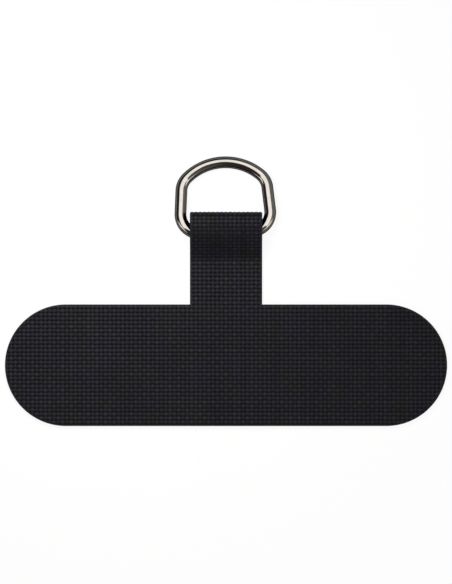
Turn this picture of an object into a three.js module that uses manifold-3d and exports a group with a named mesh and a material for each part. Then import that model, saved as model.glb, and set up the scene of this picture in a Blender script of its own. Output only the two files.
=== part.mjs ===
import * as THREE from "three";
import { mergeVertices } from "three/addons/utils/BufferGeometryUtils.js";
import Module from "manifold-3d";

// Sizes are in millimetres and angles in degrees. The back lies on Z = 0, and the pad's middle is at X = Y = 0.

// Outline of the fabric tab: a stadium pad with a strap that stands on the middle of its upper edge.
const PAD_LENGTH = 60;
const PAD_WIDTH = 16.5;
const STRAP_WIDTH = 9.8;
const STRAP_END = 20.75;

// The sheet, which is folded at the strap's end and bonded to itself below the loop.
const SHEET = 0.35;
const LOOP_LENGTH = 6.8;
const LOOP_HEIGHT = 3.62;
const CREST_RADIUS = 4.1;
const NOSE_RADIUS = 1.2;
const LIFT_RADIUS = 1.2;
const TIP_GAP = 0.05;

// Plain weave on the front: distance between yarns each way, and height of a crossing above or below the mean.
const WARP_PITCH = 0.584;
const WEFT_PITCH = 0.54;
const YARN_RELIEF = 0.07;

// The ring, bent from round wire and measured along the wire's middle. The wire's ends meet inside the loop.
const WIRE = 1.6;
const RING_WIDTH = 12.62;
const RING_HEIGHT = 9.57;
const LEG_LEAN = 4.6;
const FOOT_RADIUS = 2.63;
const SHOULDER_RADIUS = 2.61;
const CROWN_RADIUS = 7.45;
const WIRE_GAP = 0.15;
const WIRE_SIDES = 20;
const ARC_STEP = 6;

// Where the ring turns. Its axis is a little on the crown's side of the straight bar, which clears the back layer.
const AXIS_FROM_END = 2.4;
const AXIS_TO_BAR = 0.35;
const BAR_PLAY = 0.1;
const RING_TURN = 2.4;

const rad = THREE.MathUtils.degToRad;
const wasm = await Module();
wasm.setup();
const { Manifold, Mesh } = wasm;

// A closed three.js geometry as a solid that can be cut.
function toSolid(geometry) {
  const bare = new THREE.BufferGeometry();
  const source = geometry.index ? geometry.toNonIndexed() : geometry;
  bare.setAttribute("position", source.getAttribute("position"));
  const merged = mergeVertices(bare, 1e-4);
  return new Manifold(
    new Mesh({
      numProp: 3,
      vertProperties: merged.attributes.position.array,
      triVerts: new Uint32Array(merged.index.array),
    }),
  );
}

// A solid as a three.js geometry.
function toGeometry(solid) {
  const mesh = solid.getMesh();
  const geometry = new THREE.BufferGeometry();
  const positions = new THREE.BufferAttribute(mesh.vertProperties, 3);
  geometry.setAttribute("position", positions);
  geometry.setIndex(new THREE.BufferAttribute(mesh.triVerts, 1));
  return geometry;
}

// A tube from rings of points. Each ring joins to the next one, and both ends are closed with the given triangles.
// Where flipAt says so, a face between two rings is split the other way.
function skin(rows, caps, flipAt) {
  const width = rows[0].length;
  const positions = rows.flat().flatMap((p) => [p.x, p.y, p.z]);
  const index = [];
  for (let i = 0; i + 1 < rows.length; i += 1) {
    for (let j = 0; j < width; j += 1) {
      const a = i * width + j;
      const b = i * width + ((j + 1) % width);
      const c = a + width;
      const d = b + width;
      if (flipAt(i, j)) index.push(a, b, c, b, d, c);
      else index.push(a, b, d, a, d, c);
    }
  }
  const last = (rows.length - 1) * width;
  for (const [a, b, c] of caps) {
    index.push(a, c, b, last + a, last + b, last + c);
  }
  const geometry = new THREE.BufferGeometry();
  geometry.setAttribute("position", new THREE.Float32BufferAttribute(positions, 3));
  geometry.setIndex(index);
  geometry.computeVertexNormals();
  return geometry;
}

// The front of the folded sheet seen from the side, as a path in Y (its x) and Z (its y). It runs up the pad and
// the strap, rises over the loop's wide crest and turns around the fold's tight nose and wider heel to the back. The
// inset is how deep under the front it lies.
function frontPath(startY, inset) {
  const heelRadius = LOOP_HEIGHT - NOSE_RADIUS;
  const lift = new THREE.Vector2(STRAP_END - LOOP_LENGTH, 2 * SHEET + LIFT_RADIUS);
  const crest = new THREE.Vector2(STRAP_END - NOSE_RADIUS, LOOP_HEIGHT - CREST_RADIUS);
  const heel = new THREE.Vector2(STRAP_END - heelRadius, heelRadius);
  const between = crest.clone().sub(lift);
  const slope = between.angle() + Math.asin((CREST_RADIUS + LIFT_RADIUS) / between.length());
  const quarter = Math.PI / 2;
  const path = new THREE.Path();
  path.moveTo(startY, 2 * SHEET - inset);
  path.lineTo(lift.x, 2 * SHEET - inset);
  path.absarc(lift.x, lift.y, LIFT_RADIUS + inset, -quarter, slope - quarter, false);
  path.absarc(crest.x, crest.y, CREST_RADIUS - inset, slope + quarter, quarter, true);
  path.absarc(crest.x, heel.y, NOSE_RADIUS - inset, quarter, 0, true);
  path.absarc(heel.x, heel.y, heelRadius - inset, 0, -quarter, true);
  return path;
}

// The whole front as one woven surface, closed by the flat back. Warp yarns run along Y, weft yarns along X, and
// each crossing is a point that is high or low in turn.
function wovenBlock() {
  const startY = -PAD_WIDTH / 2 - WEFT_PITCH;
  const path = frontPath(startY, 0);
  const count = Math.round(path.getLength() / WEFT_PITCH);
  path.arcLengthDivisions = 40 * count;
  path.updateArcLengths();
  const profile = [];
  for (let j = 0; j <= count; j += 1) {
    const t = j / count;
    const point = path.getPointAt(t);
    const along = path.getTangentAt(t);
    const relief = j > count - 2 ? 0 : YARN_RELIEF;
    profile.push({ point, out: new THREE.Vector2(-along.y, along.x), relief });
  }
  const corner = new THREE.Vector2(startY, 0);
  profile.push({ point: corner, out: new THREE.Vector2(), relief: 0 });
  profile.reverse();

  const half = Math.ceil(PAD_LENGTH / 2 / WARP_PITCH) + 1;
  const rows = [];
  for (let i = -half; i <= half; i += 1) {
    rows.push(
      profile.map(({ point, out, relief }, j) => {
        const rise = (i + j) % 2 === 0 ? relief : -relief;
        const x = i * WARP_PITCH;
        return new THREE.Vector3(x, point.x + out.x * rise, point.y + out.y * rise);
      }),
    );
  }
  const outline = rows[0].map((p) => new THREE.Vector2(p.y, p.z));
  const caps = THREE.ShapeUtils.triangulateShape(outline, []);
  const highFirst = (i, j) => (i + j + half) % 2 === 0;
  return toSolid(skin(rows, caps, highFirst));
}

// The tab's outline, raised to a prism that is taller than the loop.
function outlinePrism() {
  const radius = PAD_WIDTH / 2;
  const straight = PAD_LENGTH / 2 - radius;
  const half = STRAP_WIDTH / 2;
  const beyond = STRAP_END + 2 * YARN_RELIEF + 1;
  const shape = new THREE.Shape();
  shape.moveTo(-straight, -radius);
  shape.lineTo(straight, -radius);
  shape.absarc(straight, 0, radius, -Math.PI / 2, Math.PI / 2, false);
  shape.lineTo(half, radius);
  shape.lineTo(half, beyond);
  shape.lineTo(-half, beyond);
  shape.lineTo(-half, radius);
  shape.lineTo(-straight, radius);
  shape.absarc(-straight, 0, radius, Math.PI / 2, (3 * Math.PI) / 2, false);
  const depth = 2 * LOOP_HEIGHT;
  const prism = new THREE.ExtrudeGeometry(shape, { depth, bevelEnabled: false, curveSegments: 40 });
  return toSolid(prism.translate(0, 0, -depth / 4));
}

// The space between the sheet's two layers inside the loop, from one side of the strap to the other.
function loopHollow() {
  const inner = frontPath(STRAP_END - LOOP_LENGTH, SHEET).getPoints(24);
  const open = inner.filter((p, i) => p.y > SHEET + TIP_GAP || i === inner.length - 1);
  const shape = new THREE.Shape([new THREE.Vector2(open[0].x, SHEET), ...open]);
  const depth = STRAP_WIDTH + 2;
  const hollow = new THREE.ExtrudeGeometry(shape, { depth, bevelEnabled: false });
  hollow.applyMatrix4(
    new THREE.Matrix4().makeBasis(
      new THREE.Vector3(0, 1, 0),
      new THREE.Vector3(0, 0, 1),
      new THREE.Vector3(1, 0, 0),
    ),
  );
  return toSolid(hollow.translate(-depth / 2, 0, 0));
}

// The ring's wire from the gap in the bar to the middle of the crown, as points with their directions.
function halfRing() {
  const lean = rad(LEG_LEAN);
  const up = new THREE.Vector2(-Math.sin(lean), Math.cos(lean));
  const side = new THREE.Vector2(Math.cos(lean), Math.sin(lean));
  const footX = RING_WIDTH / 2 - (FOOT_RADIUS * (1 + Math.sin(lean))) / Math.cos(lean);
  const foot = new THREE.Vector2(footX, FOOT_RADIUS);
  const crown = new THREE.Vector2(0, RING_HEIGHT - CROWN_RADIUS);
  const base = new THREE.Vector2(RING_WIDTH / 2, 0).addScaledVector(side, -SHOULDER_RADIUS);
  const toBase = base.clone().sub(crown);
  const b = toBase.dot(up);
  const c = toBase.lengthSq() - (CROWN_RADIUS - SHOULDER_RADIUS) ** 2;
  const shoulder = base.clone().addScaledVector(up, -b + Math.sqrt(b * b - c));
  const meet = shoulder.clone().sub(crown).angle();

  const stations = [{ point: new THREE.Vector2(WIRE_GAP / 2, 0), angle: 0 }];
  const arc = (centre, radius, from, to) => {
    const steps = Math.ceil((to - from) / rad(ARC_STEP));
    for (let i = 0; i <= steps; i += 1) {
      const turn = from + ((to - from) * i) / steps;
      const spoke = new THREE.Vector2(Math.cos(turn), Math.sin(turn));
      const point = centre.clone().addScaledVector(spoke, radius);
      stations.push({ point, angle: turn + Math.PI / 2 });
    }
  };
  arc(foot, FOOT_RADIUS, -Math.PI / 2, lean);
  arc(shoulder, SHOULDER_RADIUS, lean, meet);
  stations.pop();
  arc(crown, CROWN_RADIUS, meet, Math.PI / 2);
  return stations;
}

// The ring as a round wire swept along its outline. Its bar lies on the X axis, and the crown is towards +Y.
function ringGeometry() {
  const right = halfRing();
  const left = right.slice(0, -1).reverse();
  const mirrored = left.map(({ point, angle }) => ({
    point: new THREE.Vector2(-point.x, point.y),
    angle: 2 * Math.PI - angle,
  }));
  const rows = [...right, ...mirrored].map(({ point, angle }) => {
    const row = [];
    for (let i = 0; i < WIRE_SIDES; i += 1) {
      const turn = (2 * Math.PI * i) / WIRE_SIDES;
      const reach = (WIRE / 2) * Math.cos(turn);
      const x = point.x - Math.sin(angle) * reach;
      const y = point.y + Math.cos(angle) * reach;
      row.push(new THREE.Vector3(x, y, (WIRE / 2) * Math.sin(turn)));
    }
    return row;
  });
  const section = rows[0].map((p) => new THREE.Vector2(p.y, p.z));
  const caps = THREE.ShapeUtils.triangulateShape(section, []);
  return skin(rows, caps, () => false);
}

// The ring hangs in the loop, turned a little in plan, with the crown down on the table.
function placeRing(mesh) {
  const axisZ = SHEET + BAR_PLAY + WIRE / 2 + AXIS_TO_BAR;
  const drop = Math.asin((axisZ - WIRE / 2) / (RING_HEIGHT - AXIS_TO_BAR));
  const turn = new THREE.Matrix4().makeRotationZ(rad(RING_TURN));
  mesh.applyMatrix4(new THREE.Matrix4().makeTranslation(0, -AXIS_TO_BAR, 0));
  mesh.applyMatrix4(new THREE.Matrix4().makeRotationX(-drop));
  mesh.applyMatrix4(turn);
  mesh.applyMatrix4(new THREE.Matrix4().makeTranslation(0, STRAP_END - AXIS_FROM_END, axisZ));
}

const fabric = new THREE.MeshStandardMaterial({ color: 0x232226, roughness: 0.85, metalness: 0 });
fabric.flatShading = true;
const nickel = new THREE.MeshStandardMaterial({ color: 0xd2cec8, roughness: 0.15, metalness: 1 });

const tabSolid = wovenBlock().intersect(outlinePrism()).subtract(loopHollow());
const tab = new THREE.Mesh(toGeometry(tabSolid), fabric);
tab.name = "fabric_tab";

const ring = new THREE.Mesh(ringGeometry(), nickel);
ring.name = "d_ring";
placeRing(ring);

const group = new THREE.Group();
group.name = "lanyard_tab";
group.add(tab, ring);

export default group;
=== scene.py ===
"""Phone lanyard tether tab: a folded, bonded woven sheet and a polished D-ring, lying on a pale floor.

Lengths in the constants are in millimetres and the scene is in metres.
"""

import math

import bpy
import numpy as np
from mathutils import Matrix, Vector


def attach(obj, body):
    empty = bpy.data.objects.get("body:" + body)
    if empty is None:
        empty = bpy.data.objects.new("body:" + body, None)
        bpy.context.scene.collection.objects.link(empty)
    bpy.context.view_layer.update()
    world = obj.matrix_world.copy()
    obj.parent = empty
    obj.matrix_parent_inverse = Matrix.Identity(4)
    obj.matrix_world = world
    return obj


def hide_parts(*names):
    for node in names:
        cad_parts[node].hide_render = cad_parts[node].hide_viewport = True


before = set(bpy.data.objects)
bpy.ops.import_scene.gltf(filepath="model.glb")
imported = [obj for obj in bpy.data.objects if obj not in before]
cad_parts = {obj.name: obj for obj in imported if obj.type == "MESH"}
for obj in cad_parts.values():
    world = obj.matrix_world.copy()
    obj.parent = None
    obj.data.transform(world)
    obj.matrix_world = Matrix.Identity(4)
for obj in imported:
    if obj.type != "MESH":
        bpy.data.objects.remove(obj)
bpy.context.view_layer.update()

MM = 0.001

# Tab outline and sheet, as in the CAD model.
PAD_LENGTH = 60.0
PAD_WIDTH = 16.5
STRAP_WIDTH = 9.8
STRAP_END = 20.75
SHEET = 0.35
LOOP_LENGTH = 6.8
LOOP_HEIGHT = 3.62
CREST_RADIUS = 4.1
NOSE_RADIUS = 1.2
LIFT_RADIUS = 1.2
WARP_PITCH = 0.584
WEFT_PITCH = 0.54
YARN_RELIEF = 0.07

# Ring, as in the CAD model.
WIRE = 1.6
RING_WIDTH = 12.62
RING_HEIGHT = 9.57
LEG_LEAN = math.radians(4.6)
FOOT_RADIUS = 2.63
SHOULDER_RADIUS = 2.61
CROWN_RADIUS = 7.45
WIRE_GAP = 0.15
AXIS_FROM_END = 2.4
AXIS_TO_BAR = 0.35
BAR_PLAY = 0.1
RING_TURN = math.radians(2.4)

# Detail that the CAD model leaves out.
BOND_GAP = 0.02  # between the two layers where they are bonded
EDGE_DROP = 0.09  # how far the cut edge is pressed down
EDGE_REACH = 0.24  # how far in from the edge that shows
YARN_HALF = 0.49  # half width of a yarn, in pitches
YARN_CRIMP = 0.062  # how far a yarn rises and falls
YARN_SPREAD = 0.05  # how much the yarns' heights differ, as a share
FILAMENTS = 7.0  # fine ridges across a yarn
SIDE_MARGIN = 0.1  # how far the sheet's grid starts outside the pad's ends
CLOSE = 0.35  # share of a step within which a grid line gives way to a fixed one
FRONT_STEPS = 4  # grid steps to a yarn on the front, the strap and the loop
BACK_STEPS = 3  # and on the back of the pad
WIRE_SIDES = 48
ARC_STEP = math.radians(1.5)
TINY = 1e-7
KEYS_PER_MM = 1e5  # how finely points of the flat sheet are told apart
SEED = 11
TONES = 256  # yarns before their sizes repeat

# The photograph's frame, seen straight from above on a long lens.
PHOTO_HEIGHT = 584
PIXEL = 0.13572
VIEW_CENTRE = (-0.008, 9.935)
CAMERA_DISTANCE = 900.0
SENSOR = 36.0

# Colours, in linear light.
COOL_YARN = (0.0129, 0.0124, 0.0196, 1)
WARM_YARN = (0.0138, 0.0134, 0.0150, 1)
# Painted shade: the dark colour in the gaps between the yarns.
PAINTED_GAP_SHADE = (0.0026, 0.0024, 0.0034, 1)
CUT_EDGE = (0.030, 0.030, 0.031, 1)
PLATE_DULL = (0.57, 0.54, 0.50, 1)
PLATE_CLEAR = (0.62, 0.59, 0.55, 1)
# Painted shade: the plate's colour on its flanks, where the surface turns away from the view.
PAINTED_EDGE_SHADE = (0.13, 0.125, 0.115, 1)
FLOOR_GREY = (0.88, 0.88, 0.88, 1)
FLOOR_WHITE = (1, 1, 1, 1)
STUDIO_WHITE = (1.0, 0.985, 0.965, 1)

# How strongly the floor glows, and the share of that which the camera and reflections see.
FLOOR_GLOW = 1.03
GLOW_SEEN = 0.87
GLOW_MIRRORED = 0.15

# The studio and its lamps.
PANEL_LEVEL = 1.4
PANEL_SLANT = 0.8  # how steeply the overhead panel's lower edge rises to both sides
LEAST_RISE = 0.02  # flatter directions count as rising by this much
LAMP_AIM = Vector((0, 0.01, 0))
HALF_FLOOR = 15.0
FLOOR_DROP = 0.01

RADIUS = PAD_WIDTH / 2
STRAIGHT = PAD_LENGTH / 2 - RADIUS
STRAP_HALF = STRAP_WIDTH / 2
AXIS_Y = STRAP_END - AXIS_FROM_END
AXIS_Z = SHEET + BAR_PLAY + WIRE / 2 + AXIS_TO_BAR

# The sheet's developed length, from the front pad's lower edge over the fold to the back pad's lower edge.
HEEL_RADIUS = LOOP_HEIGHT - NOSE_RADIUS
HEEL_PART = 5
HEEL_Y = STRAP_END - HEEL_RADIUS
CREST_Y = STRAP_END - NOSE_RADIUS
CREST_Z = LOOP_HEIGHT - CREST_RADIUS
LIFT_Y = STRAP_END - LOOP_LENGTH
LIFT_Z = 2 * SHEET + LIFT_RADIUS
REACH = math.hypot(CREST_Y - LIFT_Y, CREST_Z - LIFT_Z)
SLOPE = math.atan2(CREST_Z - LIFT_Z, CREST_Y - LIFT_Y) + math.asin((CREST_RADIUS + LIFT_RADIUS) / REACH)
RISE = math.sqrt(REACH**2 - (CREST_RADIUS + LIFT_RADIUS) ** 2)
QUARTER = math.pi / 2
LENGTHS = [
    LIFT_Y + RADIUS,  # flat front
    LIFT_RADIUS * SLOPE,  # lift
    RISE,  # slope
    CREST_RADIUS * SLOPE,  # crest
    NOSE_RADIUS * QUARTER,  # nose
    HEEL_RADIUS * QUARTER,  # heel
    HEEL_Y + RADIUS,  # flat back
]
STARTS = np.concatenate([[0.0], np.cumsum(LENGTHS)])
TOTAL = float(STARTS[-1])
FRONT_TOP = PAD_WIDTH
BACK_TOP = TOTAL - PAD_WIDTH


def smooth(t):
    """From 0 to 1 with soft ends."""
    t = np.clip(t, 0.0, 1.0)
    return t * t * (3 - 2 * t)


def sheet_path(v):
    """Y, Z and the outward direction of the sheet's outer face at developed lengths v."""
    v = np.asarray(v, float)
    part = np.clip(np.searchsorted(STARTS, v, side="right") - 1, 0, len(LENGTHS) - 1)
    s = v - STARTS[part]
    y, z, ny, nz = (np.zeros_like(v) for _ in range(4))

    def put(k, values):
        m = part == k
        for target, value in zip((y, z, ny, nz), values):
            target[m] = (value + np.zeros_like(v))[m]

    def arc(k, centre_y, centre_z, radius, start, outward):
        a = start - outward * s / radius
        cos, sin = np.cos(a), np.sin(a)
        put(k, (centre_y + radius * cos, centre_z + radius * sin, outward * cos, outward * sin))

    put(0, (-RADIUS + s, 2 * SHEET, 0.0, 1.0))
    arc(1, LIFT_Y, LIFT_Z, LIFT_RADIUS, -QUARTER, -1)
    y0 = LIFT_Y + LIFT_RADIUS * math.sin(SLOPE)
    z0 = LIFT_Z - LIFT_RADIUS * math.cos(SLOPE)
    put(2, (y0 + s * math.cos(SLOPE), z0 + s * math.sin(SLOPE), -math.sin(SLOPE), math.cos(SLOPE)))
    arc(3, CREST_Y, CREST_Z, CREST_RADIUS, QUARTER + SLOPE, 1)
    arc(4, CREST_Y, HEEL_RADIUS, NOSE_RADIUS, QUARTER, 1)
    arc(HEEL_PART, HEEL_Y, HEEL_RADIUS, HEEL_RADIUS, 0.0, 1)
    put(6, (HEEL_Y - s, 0.0, 0.0, -1.0))
    return y, z, ny, nz


def pad_depth(x, v):
    """How far inside the pad's outline a point of the flat sheet is."""
    y = np.where(v < TOTAL / 2, v, TOTAL - v) - RADIUS
    beyond = np.maximum(np.abs(x) - STRAIGHT, 0.0)
    return RADIUS - np.hypot(beyond, y)


def edge_depth(x, v):
    """How far inside the whole outline a point of the flat sheet is."""
    return np.maximum(pad_depth(x, v), STRAP_HALF - np.abs(x))


rng = np.random.default_rng(SEED)
WARP_TONE = rng.normal(0.0, 1.0, TONES)
WEFT_TONE = rng.normal(0.0, 1.0, TONES)


def weave_height(x, v):
    """Plain weave: the higher of a warp and a weft yarn, each with an oval section, about a mean of zero."""
    a, b = x / WARP_PITCH + 0.5, v / WEFT_PITCH + 0.5
    i, j = np.floor(a).astype(int), np.floor(b).astype(int)
    odd_i, odd_j = 1 - 2 * (i % 2), 1 - 2 * (j % 2)
    across = (a - i - 0.5) / YARN_HALF
    along = (b - j - 0.5) / YARN_HALF
    warp_size = 1 + YARN_SPREAD * WARP_TONE[i % TONES]
    weft_size = 1 + YARN_SPREAD * WEFT_TONE[j % TONES]
    body = 2 * YARN_RELIEF - YARN_CRIMP
    warp = YARN_CRIMP * odd_i * np.sin(math.pi * b) + body * warp_size * np.sqrt(np.clip(1 - across**2, 0, 1))
    weft = -YARN_CRIMP * odd_j * np.sin(math.pi * a) + body * weft_size * np.sqrt(np.clip(1 - along**2, 0, 1))
    return np.clip(np.maximum(warp, weft), 0.0, 2 * YARN_RELIEF) - YARN_RELIEF


def lines(low, high, step, fixed):
    """Grid lines a step apart that make way for the fixed ones."""
    counts = range(math.ceil(low / step), math.floor(high / step) + 1)
    free = [k * step for k in counts if all(abs(k * step - f) > CLOSE * step for f in fixed)]
    return sorted(free + [f for f in fixed if low - TINY <= f <= high + TINY])


def grids():
    """Grid lines of the front pad, the strap and the back pad, and whether the outline leaves them whole."""
    sides = [-STRAP_HALF, STRAP_HALF]
    end = PAD_LENGTH / 2 + SIDE_MARGIN
    front_x = lines(-end, end, WARP_PITCH / FRONT_STEPS, sides)
    strap_x = [x for x in front_x if abs(x) <= STRAP_HALF + TINY]
    coarse = lines(-end, end, WARP_PITCH / BACK_STEPS, sides)
    back_x = sorted(strap_x + [x for x in coarse if abs(x) > STRAP_HALF + TINY])
    fine = WEFT_PITCH / FRONT_STEPS
    front_v = lines(0.0, FRONT_TOP, fine, [0.0, FRONT_TOP])
    strap_v = lines(FRONT_TOP, BACK_TOP, fine, [FRONT_TOP, BACK_TOP])
    back_v = lines(BACK_TOP, TOTAL, WEFT_PITCH / BACK_STEPS, [BACK_TOP, TOTAL])
    return (front_x, front_v, False), (strap_x, strap_v, True), (back_x, back_v, False)


def outline_crossing(p, q):
    """Where the pad's outline crosses a grid edge that starts inside it or ends there."""
    (x0, v0), (x1, v1) = p, q
    if v0 == v1:
        y = (v0 if v0 < TOTAL / 2 else TOTAL - v0) - RADIUS
        x = STRAIGHT + math.sqrt(max(RADIUS**2 - y * y, 0.0))
        return (math.copysign(x, x0), v0)
    y = math.sqrt(max(RADIUS**2 - max(abs(x0) - STRAIGHT, 0.0) ** 2, 0.0))
    centre = RADIUS if v0 < TOTAL / 2 else TOTAL - RADIUS
    return (x0, centre + math.copysign(y, (v0 + v1) / 2 - centre))


class FlatSheet:
    """The sheet before it is folded: its points, each held once, and its faces, cut to the outline."""

    def __init__(self):
        self.points, self.faces, self.index = [], [], {}
        for xs, vs, whole in grids():
            grid = np.meshgrid(xs, vs, indexing="ij")
            inside = np.ones_like(grid[0], bool) if whole else pad_depth(*grid) > -TINY
            for i, j in np.ndindex(len(xs) - 1, len(vs) - 1):
                cell = ((i, j), (i + 1, j), (i + 1, j + 1), (i, j + 1))
                corners = [(xs[m], vs[n]) for m, n in cell]
                self.add_cell(corners, [inside[k] for k in cell])

    def key(self, x, v):
        return round(x * KEYS_PER_MM), round(v * KEYS_PER_MM)

    def vertex(self, x, v):
        at = self.key(x, v)
        if at not in self.index:
            self.index[at] = len(self.points)
            self.points.append((x, v))
        return self.index[at]

    def add_cell(self, corners, within):
        """A grid cell, or what the outline leaves of it."""
        if not any(within):
            return
        face = []
        for k in range(4):
            n = (k + 1) % 4
            if within[k]:
                face.append(self.vertex(*corners[k]))
            if within[k] != within[n]:
                face.append(self.vertex(*outline_crossing(corners[k], corners[n])))
        face = [f for f, g in zip(face, face[1:] + face[:1]) if f != g]
        if len(face) > 2:
            self.faces.append(face)

    def outline(self):
        """The outline's vertices from the strap's front left corner on, and its other corners' places."""
        directed = {(a, b) for f in self.faces for a, b in zip(f, f[1:] + f[:1])}
        follow = {a: b for a, b in directed if (b, a) not in directed}
        first = self.index[self.key(-STRAP_HALF, FRONT_TOP)]
        loop = [first]
        while follow[loop[-1]] != first:
            loop.append(follow[loop[-1]])
        others = ((STRAP_HALF, FRONT_TOP), (STRAP_HALF, BACK_TOP), (-STRAP_HALF, BACK_TOP))
        return loop, [loop.index(self.index[self.key(*corner)]) for corner in others]


def closing_faces(loop, turns, count):
    """The rim, and the inner face as one face for each pad and strips over the strap between them."""
    under = {a: count + k for k, a in enumerate(loop)}
    rim = [[b, a, under[a], under[b]] for a, b in zip(loop, loop[1:] + loop[:1])]
    right = loop[turns[0] : turns[1] + 1]
    left = (loop[turns[2] :] + loop[:1])[::-1]
    strips = [
        [under[left[k]], under[left[k + 1]], under[right[k + 1]], under[right[k]]]
        for k in range(len(right) - 1)
    ]
    front_pad = [under[a] for a in loop[: turns[0] + 1]][::-1]
    back_pad = [under[a] for a in loop[turns[1] : turns[2] + 1]][::-1]
    return rim, strips + [front_pad, back_pad]


def weave_sheet():
    """The folded sheet as one closed mesh of outer face, cut edge and inner face, and its flat area."""
    flat = FlatSheet()
    x, v = np.array(flat.points).T
    y, z, ny, nz = sheet_path(v)
    # The high points of the back lie in the back face's plane.
    raised = YARN_RELIEF * smooth((v - STARTS[HEEL_PART]) / LENGTHS[HEEL_PART])
    pressed = 1 - smooth(edge_depth(x, v) / EDGE_REACH)
    out = weave_height(x, v) - EDGE_DROP * pressed
    outer = np.stack([x, y + ny * out, z + nz * out + raised], axis=1)
    layer = SHEET - BOND_GAP / 2
    inner = np.stack([x, y - ny * layer, z - nz * layer], axis=1)

    loop, turns = flat.outline()
    rim, inner_faces = closing_faces(loop, turns, len(flat.points))
    faces = flat.faces + rim + inner_faces
    points = np.concatenate([outer, inner[loop]]) * MM
    mesh = bpy.data.meshes.new("woven_tab")
    mesh.from_pydata(points.tolist(), [], faces)

    yarns = np.stack([x / WARP_PITCH + 0.5, v / WEFT_PITCH + 0.5], axis=1)
    yarns = np.concatenate([yarns, yarns[loop]])
    corner = np.empty(len(mesh.loops), np.int32)
    mesh.loops.foreach_get("vertex_index", corner)
    uv = mesh.uv_layers.new(name="yarns")
    uv.uv.foreach_set("vector", yarns[corner].astype(np.float32).ravel())

    near_edge = np.concatenate([pressed, np.zeros(len(loop))])[corner]
    starts = np.cumsum([0] + [len(f) for f in faces])
    outer_count = len(flat.faces)
    near_edge[starts[outer_count] : starts[outer_count + len(rim)]] = 1.0
    cut = mesh.attributes.new("cut_edge", "FLOAT", "CORNER")
    cut.data.foreach_set("value", near_edge.astype(np.float32))
    mesh.polygons.foreach_set("use_smooth", np.arange(len(faces)) < outer_count)
    mesh.update()
    pad_area = PAD_WIDTH * 2 * STRAIGHT + math.pi * RADIUS**2
    strap_area = (BACK_TOP - FRONT_TOP) * STRAP_WIDTH
    return mesh, (2 * pad_area + strap_area) * MM * MM


def ring_stations():
    """The wire's middle from one side of the gap in the bar to the other: points and directions, flat."""
    up = np.array([-math.sin(LEG_LEAN), math.cos(LEG_LEAN)])
    side = np.array([math.cos(LEG_LEAN), math.sin(LEG_LEAN)])
    foot_x = RING_WIDTH / 2 - FOOT_RADIUS * (1 + math.sin(LEG_LEAN)) / math.cos(LEG_LEAN)
    foot = np.array([foot_x, FOOT_RADIUS])
    crown = np.array([0.0, RING_HEIGHT - CROWN_RADIUS])
    base = np.array([RING_WIDTH / 2, 0.0]) - side * SHOULDER_RADIUS
    to_base = base - crown
    b = to_base @ up
    c = to_base @ to_base - (CROWN_RADIUS - SHOULDER_RADIUS) ** 2
    shoulder = base + up * (-b + math.sqrt(b * b - c))
    meet = math.atan2(*(shoulder - crown)[::-1])
    stations = [(np.array([WIRE_GAP / 2, 0.0]), 0.0)]

    def arc(centre, radius, start, stop):
        steps = math.ceil((stop - start) / ARC_STEP)
        for k in range(steps + 1):
            turn = start + (stop - start) * k / steps
            spoke = np.array([math.cos(turn), math.sin(turn)])
            stations.append((centre + radius * spoke, turn + QUARTER))

    arc(foot, FOOT_RADIUS, -QUARTER, LEG_LEAN)
    arc(shoulder, SHOULDER_RADIUS, LEG_LEAN, meet)
    stations.pop()
    arc(crown, CROWN_RADIUS, meet, QUARTER)
    left = [(np.array([-p[0], p[1]]), 2 * math.pi - a) for p, a in stations[-2::-1]]
    return stations + left


def ring_mesh():
    """The round wire swept along the ring, with flat cut ends, placed in the loop."""
    turns = 2 * np.pi * np.arange(WIRE_SIDES) / WIRE_SIDES
    reach, height = WIRE / 2 * np.cos(turns), WIRE / 2 * np.sin(turns)
    rows = [
        np.stack([point[0] - math.sin(angle) * reach, point[1] + math.cos(angle) * reach, height], axis=1)
        for point, angle in ring_stations()
    ]
    points = np.concatenate(rows)
    faces = []
    for i in range(len(rows) - 1):
        for j in range(WIRE_SIDES):
            a = i * WIRE_SIDES + j
            b = i * WIRE_SIDES + (j + 1) % WIRE_SIDES
            faces.append((a, b, b + WIRE_SIDES, a + WIRE_SIDES))
    last = (len(rows) - 1) * WIRE_SIDES
    faces.append(tuple(range(WIRE_SIDES))[::-1])
    faces.append(tuple(range(last, last + WIRE_SIDES)))
    drop = math.asin((AXIS_Z - WIRE / 2) / (RING_HEIGHT - AXIS_TO_BAR))
    place = (
        Matrix.Translation((0, AXIS_Y, AXIS_Z))
        @ Matrix.Rotation(RING_TURN, 4, "Z")
        @ Matrix.Rotation(-drop, 4, "X")
        @ Matrix.Translation((0, -AXIS_TO_BAR, 0))
    )
    place = np.array(place)
    points = (points @ place[:3, :3].T + place[:3, 3]) * MM
    mesh = bpy.data.meshes.new("ring_wire")
    mesh.from_pydata(points.tolist(), [], faces)
    mesh.polygons.foreach_set("use_smooth", [True] * (len(faces) - 2) + [False, False])
    mesh.update()
    return mesh


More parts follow.
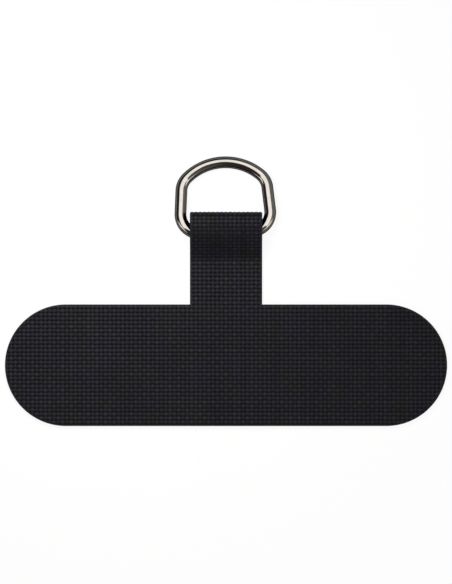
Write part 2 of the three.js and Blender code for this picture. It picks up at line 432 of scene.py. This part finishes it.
class Graph:
    """A short way to add nodes to a tree."""

    def __init__(self, tree):
        self.tree = tree
        tree.nodes.clear()

    def add(self, kind, inputs=None, **settings):
        node = self.tree.nodes.new(kind)
        for key, value in settings.items():
            setattr(node, key, value)
        for key, value in (inputs or {}).items():
            socket = node.inputs[key]
            if isinstance(value, bpy.types.NodeSocket):
                self.tree.links.new(value, socket)
            else:
                socket.default_value = value
        return node

    def math(self, operation, *values):
        return self.add("ShaderNodeMath", dict(enumerate(values)), operation=operation).outputs[0]

    def ramp(self, value, low, high, to_low, to_high, smoothed=True):
        node = self.add(
            "ShaderNodeMapRange",
            {"Value": value, "From Min": low, "From Max": high, "To Min": to_low, "To Max": to_high},
            interpolation_type="SMOOTHSTEP" if smoothed else "LINEAR",
        )
        return node.outputs["Result"]

    def mix(self, factor, a, b, blend="MIX"):
        node = self.add("ShaderNodeMix", data_type="RGBA", blend_type=blend)
        for key, value in ((0, factor), (6, a), (7, b)):
            if isinstance(value, bpy.types.NodeSocket):
                self.tree.links.new(value, node.inputs[key])
            else:
                node.inputs[key].default_value = value
        return node.outputs[2]


def new_material(name):
    material = bpy.data.materials.new(name)
    material.use_nodes = True
    return material, Graph(material.node_tree)


def fabric_material():
    """Black coated nylon: uneven yarns with fine filaments, glossy on top and matt between them, with painted
    shade that darkens the gaps between the yarns and painted shading that makes alternate crossings lighter
    and darker.
    """
    material, g = new_material("black_weave")
    uv = g.add("ShaderNodeUVMap", uv_map="yarns").outputs["UV"]
    split = g.add("ShaderNodeSeparateXYZ", {0: uv})
    a, b = split.outputs[0], split.outputs[1]
    fa, fb = g.math("FRACT", a), g.math("FRACT", b)
    ia, ib = g.math("FLOOR", a), g.math("FLOOR", b)
    off_a = g.math("ABSOLUTE", g.math("SUBTRACT", fa, 0.5))
    off_b = g.math("ABSOLUTE", g.math("SUBTRACT", fb, 0.5))
    # Where a yarn lies on top. This sets the roughness, and the painted shade in the gaps, which is deeper
    # between rows than between columns.
    top = g.math("ADD", g.ramp(off_a, 0.1, 0.5, 0.42, 0.0), g.ramp(off_b, 0.1, 0.5, 0.58, 0.0))

    place = g.add("ShaderNodeCombineXYZ", {0: ia, 1: ib}).outputs[0]
    each = g.add("ShaderNodeTexWhiteNoise", {"Vector": place}, noise_dimensions="2D").outputs["Value"]
    warp_each = g.add("ShaderNodeTexWhiteNoise", {"W": ia}, noise_dimensions="1D").outputs["Value"]
    weft_each = g.add("ShaderNodeTexWhiteNoise", {"W": ib}, noise_dimensions="1D").outputs["Value"]
    uneven = g.math("ADD", each, g.math("ADD", warp_each, weft_each))
    uneven = g.ramp(uneven, 0.0, 3.0, 0.6, 1.4, smoothed=False)
    # Painted shading: crossings where the warp lies on top are painted lighter and the others darker, as
    # light falls on them.
    parity = g.math("FRACT", g.math("MULTIPLY", g.math("ADD", ia, ib), 0.5))
    warp_over = g.math("LESS_THAN", parity, 0.25)
    uneven = g.math("MULTIPLY", uneven, g.ramp(warp_over, 0.0, 1.0, 1.14, 0.86, smoothed=False))
    patches = g.add("ShaderNodeTexNoise", {"Vector": uv, "Scale": 0.09, "Detail": 2.0}).outputs["Fac"]
    uneven = g.math("MULTIPLY", uneven, g.ramp(patches, 0.3, 0.7, 0.9, 1.1, smoothed=False))

    tint = g.add("ShaderNodeTexNoise", {"Vector": uv, "Scale": 0.13, "Detail": 1.0}).outputs["Fac"]
    yarn = g.mix(g.ramp(tint, 0.44, 0.64, 0.0, 1.0), COOL_YARN, WARM_YARN)
    grey = g.add("ShaderNodeCombineColor", {0: uneven, 1: uneven, 2: uneven}).outputs[0]
    yarn = g.mix(1.0, yarn, grey, "MULTIPLY")
    # Painted shade: the colour goes dark in the gaps between the yarns.
    colour = g.mix(top, PAINTED_GAP_SHADE, yarn)
    edge = g.add("ShaderNodeAttribute", attribute_name="cut_edge").outputs["Fac"]
    colour = g.mix(g.math("MULTIPLY", edge, 0.6), colour, CUT_EDGE)

    ridges = 2 * math.pi * FILAMENTS
    warp_lines = g.math("SINE", g.math("MULTIPLY", a, ridges))
    weft_lines = g.math("SINE", g.math("MULTIPLY", b, ridges))
    fibre = g.add("ShaderNodeMix", {0: warp_over, 2: weft_lines, 3: warp_lines}, data_type="FLOAT")
    grain = g.add("ShaderNodeTexNoise", {"Vector": uv, "Scale": 6.0, "Detail": 3.0}).outputs["Fac"]
    height = g.math("ADD", g.math("MULTIPLY", fibre.outputs[0], 0.35), grain)
    bump = g.add("ShaderNodeBump", {"Strength": 0.5, "Distance": 0.012 * MM, "Height": height})

    shader = g.add(
        "ShaderNodeBsdfPrincipled",
        {
            "Base Color": colour,
            "Roughness": g.ramp(g.math("ADD", top, grain), 0.65, 1.45, 0.98, 0.34),
            "Specular IOR Level": 0.13,
            "Normal": bump.outputs["Normal"],
        },
    )
    g.add("ShaderNodeOutputMaterial", {"Surface": shader.outputs[0]})
    return material


def ring_material():
    """Polished nickel plate with a faint haze and fine scratches, with painted shade: its colour is darkened
    on its flanks, where the surface turns away from the view, in place of dark reflections.
    """
    material, g = new_material("polished_nickel")
    place = g.add("ShaderNodeTexCoord").outputs["Object"]
    haze = g.add("ShaderNodeTexNoise", {"Vector": place, "Scale": 900.0, "Detail": 3.0}).outputs["Fac"]
    scratch = g.add("ShaderNodeTexNoise", {"Vector": place, "Scale": 5000.0, "Detail": 2.0}).outputs["Fac"]
    colour = g.mix(g.ramp(haze, 0.35, 0.65, 0.0, 1.0), PLATE_DULL, PLATE_CLEAR)
    # Painted shade: the plate is painted dark where its surface turns away from the view.
    facing = g.add("ShaderNodeLayerWeight", {"Blend": 0.5}).outputs["Facing"]
    colour = g.mix(g.ramp(facing, 0.13, 0.36, 0.0, 1.0), colour, PAINTED_EDGE_SHADE)
    bump = g.add("ShaderNodeBump", {"Strength": 0.25, "Distance": 0.002 * MM, "Height": scratch})
    shader = g.add(
        "ShaderNodeBsdfPrincipled",
        {
            "Base Color": colour,
            "Metallic": 1.0,
            "Specular Tint": (0.0, 0.0, 0.0, 1),
            "Roughness": g.ramp(haze, 0.3, 0.7, 0.05, 0.1, smoothed=False),
            "Normal": bump.outputs["Normal"],
        },
    )
    g.add("ShaderNodeOutputMaterial", {"Surface": shader.outputs[0]})
    return material


def floor_material():
    """A pale floor that the camera and reflections see as white, and that still takes the shadow."""
    material, g = new_material("pale_floor")
    path = g.add("ShaderNodeLightPath")
    mirrored = g.math("MAXIMUM", path.outputs["Is Glossy Ray"], path.outputs["Is Transmission Ray"])
    lit = g.add("ShaderNodeBsdfDiffuse", {"Color": FLOOR_GREY})
    white = g.add("ShaderNodeEmission", {"Color": FLOOR_WHITE, "Strength": FLOOR_GLOW})
    seen = g.math("MULTIPLY", path.outputs["Is Camera Ray"], GLOW_SEEN)
    share = g.math("MAXIMUM", seen, g.math("MULTIPLY", mirrored, GLOW_MIRRORED))
    both = g.add("ShaderNodeMixShader", {0: share, 1: lit.outputs[0], 2: white.outputs[0]})
    g.add("ShaderNodeOutputMaterial", {"Surface": both.outputs[0]})
    return material


def add_object(name, data):
    obj = bpy.data.objects.new(name, data)
    bpy.context.scene.collection.objects.link(obj)
    return obj


def make_camera():
    """Straight down on the tab. The sensor's longer side spans the photograph's height."""
    camera = add_object("camera", bpy.data.cameras.new("camera"))
    camera.data.sensor_width = SENSOR
    camera.data.lens = SENSOR * CAMERA_DISTANCE / (PHOTO_HEIGHT * PIXEL)
    camera.location = Vector((*VIEW_CENTRE, CAMERA_DISTANCE + SHEET)) * MM
    camera.data.clip_start = 0.01
    camera.data.clip_end = 100.0
    bpy.context.scene.camera = camera


def make_world():
    """A studio with a large soft panel overhead, two lower ones in front, dark walls and a pale horizon.

    A panel's edges are given by how far a direction leans to a side for each unit that it rises.
    """
    world = bpy.data.worlds.new("studio")
    bpy.context.scene.world = world
    world.use_nodes = True
    g = Graph(world.node_tree)
    direction = g.add("ShaderNodeTexCoord").outputs["Generated"]
    split = g.add("ShaderNodeSeparateXYZ", {0: direction})
    x, y, z = split.outputs
    up = g.math("MAXIMUM", z, LEAST_RISE)
    tx, ty = g.math("DIVIDE", x, up), g.math("DIVIDE", y, up)
    side, front = g.math("ABSOLUTE", tx), g.math("MULTIPLY", ty, -1.0)
    near = g.math("ADD", ty, g.math("MULTIPLY", side, PANEL_SLANT))

    def panel(begins, ends):
        """The product of soft edges: a value and the two limits of each edge."""
        edges = [g.ramp(*edge, 0.0, 1.0) for edge in begins] + [g.ramp(*edge, 1.0, 0.0) for edge in ends]
        product = edges[0]
        for edge in edges[1:]:
            product = g.math("MULTIPLY", product, edge)
        return product

    overhead = panel(
        begins=[(tx, -0.7, -0.55), (near, 0.1, 0.16)],
        ends=[(tx, 0.65, 0.8), (ty, 1.1, 1.4)],
    )
    corners = panel(
        begins=[(side, 0.85, 1.1), (front, 0.4, 0.6)],
        ends=[(side, 2.8, 3.4), (front, 1.1, 1.45)],
    )
    panels = g.math("MULTIPLY", g.math("MAXIMUM", overhead, corners), PANEL_LEVEL)
    walls = g.ramp(x, -0.2, 0.9, 0.03, 0.2)
    horizon = g.ramp(z, 0.02, 0.05, 1.0, 0.0)
    level = g.math("MAXIMUM", g.math("MAXIMUM", panels, walls), horizon)
    background = g.add("ShaderNodeBackground", {"Color": STUDIO_WHITE, "Strength": level})
    g.add("ShaderNodeOutputWorld", {"Surface": background.outputs[0]})


def make_lamp(name, place, size, power):
    """A square soft lamp that points at the tab."""
    lamp = bpy.data.lights.new(name, "AREA")
    lamp.size = size
    lamp.energy = power
    obj = add_object(name, lamp)
    obj.location = place
    obj.rotation_euler = (LAMP_AIM - Vector(place)).to_track_quat("-Z", "Y").to_euler()
    obj.visible_camera = False
    return obj


make_camera()
make_world()
key_lamp = make_lamp("key_lamp", place=(-0.020, 0.031, 0.058), size=0.03, power=0.0222)
fill_lamp = make_lamp("fill_lamp", place=(0.1, -0.6, 0.6), size=0.6, power=1.1)

floor_mesh = bpy.data.meshes.new("floor")
floor_corners = [(sx * HALF_FLOOR, sy * HALF_FLOOR, 0) for sx, sy in ((-1, -1), (1, -1), (1, 1), (-1, 1))]
floor_mesh.from_pydata(floor_corners, [], [(0, 1, 2, 3)])
floor = add_object("floor", floor_mesh)
floor.location.z = -FLOOR_DROP * MM
floor.data.materials.append(floor_material())

sheet_data, sheet_area = weave_sheet()
tab = add_object("woven_tab", sheet_data)
tab.data.materials.append(fabric_material())
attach(tab, "tab")
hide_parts("fabric_tab")

ring = add_object("ring_wire", ring_mesh())
ring.data.materials.append(ring_material())
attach(ring, "ring")
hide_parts("d_ring")

# The lamps light only the fabric and the floor. The metal shows the studio around it.
lit_by_lamps = bpy.data.collections.new("lit_by_lamps")
lit_by_lamps.objects.link(tab)
lit_by_lamps.objects.link(floor)
for lamp in (key_lamp, fill_lamp):
    lamp.light_linking.receiver_collection = lit_by_lamps

bpy.context.scene.view_settings.view_transform = "Standard"
